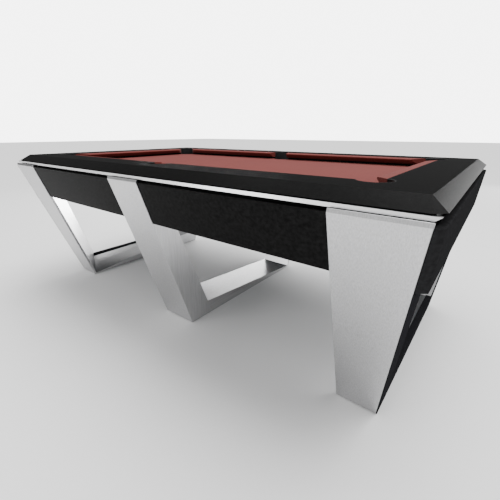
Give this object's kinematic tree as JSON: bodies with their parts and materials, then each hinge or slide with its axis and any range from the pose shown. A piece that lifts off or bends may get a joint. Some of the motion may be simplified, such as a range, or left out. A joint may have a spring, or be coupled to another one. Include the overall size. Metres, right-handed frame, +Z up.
{
  "type": "pool table",
  "caption": "Slate pool table with six drop pockets, black rails and aprons, red cloth and sloping brushed steel leg frames.",
  "frame": {"origin": "on the floor under the centre of the table", "axes": "+X along the table, -Y the front long side, +Z up"},
  "size_m": [2.3194, 1.436, 0.815],
  "materials": {
    "brushed_stainless": "brushed stainless sheet, satin",
    "bright_trim": "anodised extrusion, satin",
    "black_textured_wood": "black leather-grain skin on a timber core, satin",
    "black_cover": "black textured powder coat",
    "red_cloth": "brick red worsted cloth",
    "cushion_rubber": "moulded gum rubber",
    "slate": "honed slate",
    "pocket_plastic": "moulded, fine matt texture",
    "chassis_paint": "black powder coat",
    "zinc_plated_steel": "zinc plated",
    "foot_rubber": "moulded, matt"
  },
  "bodies": {
    "table": {"apron_back_left": "black_textured_wood", "apron_back_right": "black_textured_wood", "apron_front_left": "black_textured_wood", "apron_front_right": "black_textured_wood", "apron_left_end": "black_textured_wood", "apron_right_end": "black_textured_wood", "bed_cloth": "red_cloth", "cushion_back_left": "cushion_rubber", "cushion_back_right": "cushion_rubber", "cushion_front_left": "cushion_rubber", "cushion_front_right": "cushion_rubber", "cushion_left": "cushion_rubber", "cushion_right": "cushion_rubber", "end_beam_left": "chassis_paint", "end_beam_right": "chassis_paint", "frame_bolts": "zinc_plated_steel", "left_back_leg": "brushed_stainless", "left_floor_bar": "brushed_stainless", "left_front_leg": "brushed_stainless", "left_side_cover": "black_cover", "long_beam_back": "chassis_paint", "long_beam_front": "chassis_paint", "middle_back_leg": "brushed_stainless", "middle_beams": "chassis_paint", "middle_floor_bar": "brushed_stainless", "middle_front_leg": "brushed_stainless", "pocket_back_left": "pocket_plastic", "pocket_back_middle": "pocket_plastic", "pocket_back_right": "pocket_plastic", "pocket_front_left": "pocket_plastic", "pocket_front_middle": "pocket_plastic", "pocket_front_right": "pocket_plastic", "rail_back": "black_textured_wood", "rail_bolts": "zinc_plated_steel", "rail_front": "black_textured_wood", "rail_left": "black_textured_wood", "rail_right": "black_textured_wood", "right_back_leg": "brushed_stainless", "right_floor_bar": "brushed_stainless", "right_front_leg": "brushed_stainless", "right_side_cover": "black_cover", "seam_beam_left": "chassis_paint", "seam_beam_right": "chassis_paint", "slate_left": "slate", "slate_middle": "slate", "slate_right": "slate", "trim_back": "bright_trim", "trim_front": "bright_trim"},
    "pad_front_left": {"foot_pad_front_left": "foot_rubber"},
    "stud_front_left": {"foot_stud_front_left": "zinc_plated_steel"},
    "pad_front_middle": {"foot_pad_front_middle": "foot_rubber"},
    "stud_front_middle": {"foot_stud_front_middle": "zinc_plated_steel"},
    "pad_front_right": {"foot_pad_front_right": "foot_rubber"},
    "stud_front_right": {"foot_stud_front_right": "zinc_plated_steel"},
    "pad_back_left": {"foot_pad_back_left": "foot_rubber"},
    "stud_back_left": {"foot_stud_back_left": "zinc_plated_steel"},
    "pad_back_middle": {"foot_pad_back_middle": "foot_rubber"},
    "stud_back_middle": {"foot_stud_back_middle": "zinc_plated_steel"},
    "pad_back_right": {"foot_pad_back_right": "foot_rubber"},
    "stud_back_right": {"foot_stud_back_right": "zinc_plated_steel"}
  },
  "joints": [
    {"name": "foot_height_front_left", "type": "slide", "parent": "table", "child": "pad_front_left", "axis": [0, 0, -1], "range_m": [0, 0.01]},
    {"name": "stud_turn_front_left", "type": "hinge", "parent": "pad_front_left", "child": "stud_front_left", "pos_m": [-0.988, -0.44728, 0], "axis": [0, 0, -1], "range_deg": [0, 2059.1]},
    {"name": "foot_height_front_middle", "type": "slide", "parent": "table", "child": "pad_front_middle", "axis": [0, 0, -1], "range_m": [0, 0.01]},
    {"name": "stud_turn_front_middle", "type": "hinge", "parent": "pad_front_middle", "child": "stud_front_middle", "pos_m": [0, -0.44728, 0], "axis": [0, 0, -1], "range_deg": [0, 2059.1]},
    {"name": "foot_height_front_right", "type": "slide", "parent": "table", "child": "pad_front_right", "axis": [0, 0, -1], "range_m": [0, 0.01]},
    {"name": "stud_turn_front_right", "type": "hinge", "parent": "pad_front_right", "child": "stud_front_right", "pos_m": [0.988, -0.44728, 0], "axis": [0, 0, -1], "range_deg": [0, 2059.1]},
    {"name": "foot_height_back_left", "type": "slide", "parent": "table", "child": "pad_back_left", "axis": [0, 0, -1], "range_m": [0, 0.01]},
    {"name": "stud_turn_back_left", "type": "hinge", "parent": "pad_back_left", "child": "stud_back_left", "pos_m": [-0.988, 0.44728, 0], "axis": [0, 0, -1], "range_deg": [0, 2059.1]},
    {"name": "foot_height_back_middle", "type": "slide", "parent": "table", "child": "pad_back_middle", "axis": [0, 0, -1], "range_m": [0, 0.01]},
    {"name": "stud_turn_back_middle", "type": "hinge", "parent": "pad_back_middle", "child": "stud_back_middle", "pos_m": [0, 0.30128, 0], "axis": [0, 0, -1], "range_deg": [0, 2059.1]},
    {"name": "foot_height_back_right", "type": "slide", "parent": "table", "child": "pad_back_right", "axis": [0, 0, -1], "range_m": [0, 0.01]},
    {"name": "stud_turn_back_right", "type": "hinge", "parent": "pad_back_right", "child": "stud_back_right", "pos_m": [0.988, 0.44728, 0], "axis": [0, 0, -1], "range_deg": [0, 2059.1]}
  ],
  "couplings": [
    {"joint": "stud_turn_front_left", "follows": "foot_height_front_left", "rad_per_m": 3590.4},
    {"joint": "stud_turn_front_middle", "follows": "foot_height_front_middle", "rad_per_m": 3590.4},
    {"joint": "stud_turn_front_right", "follows": "foot_height_front_right", "rad_per_m": 3590.4},
    {"joint": "stud_turn_back_left", "follows": "foot_height_back_left", "rad_per_m": 3590.4},
    {"joint": "stud_turn_back_middle", "follows": "foot_height_back_middle", "rad_per_m": 3590.4},
    {"joint": "stud_turn_back_right", "follows": "foot_height_back_right", "rad_per_m": 3590.4}
  ]
}
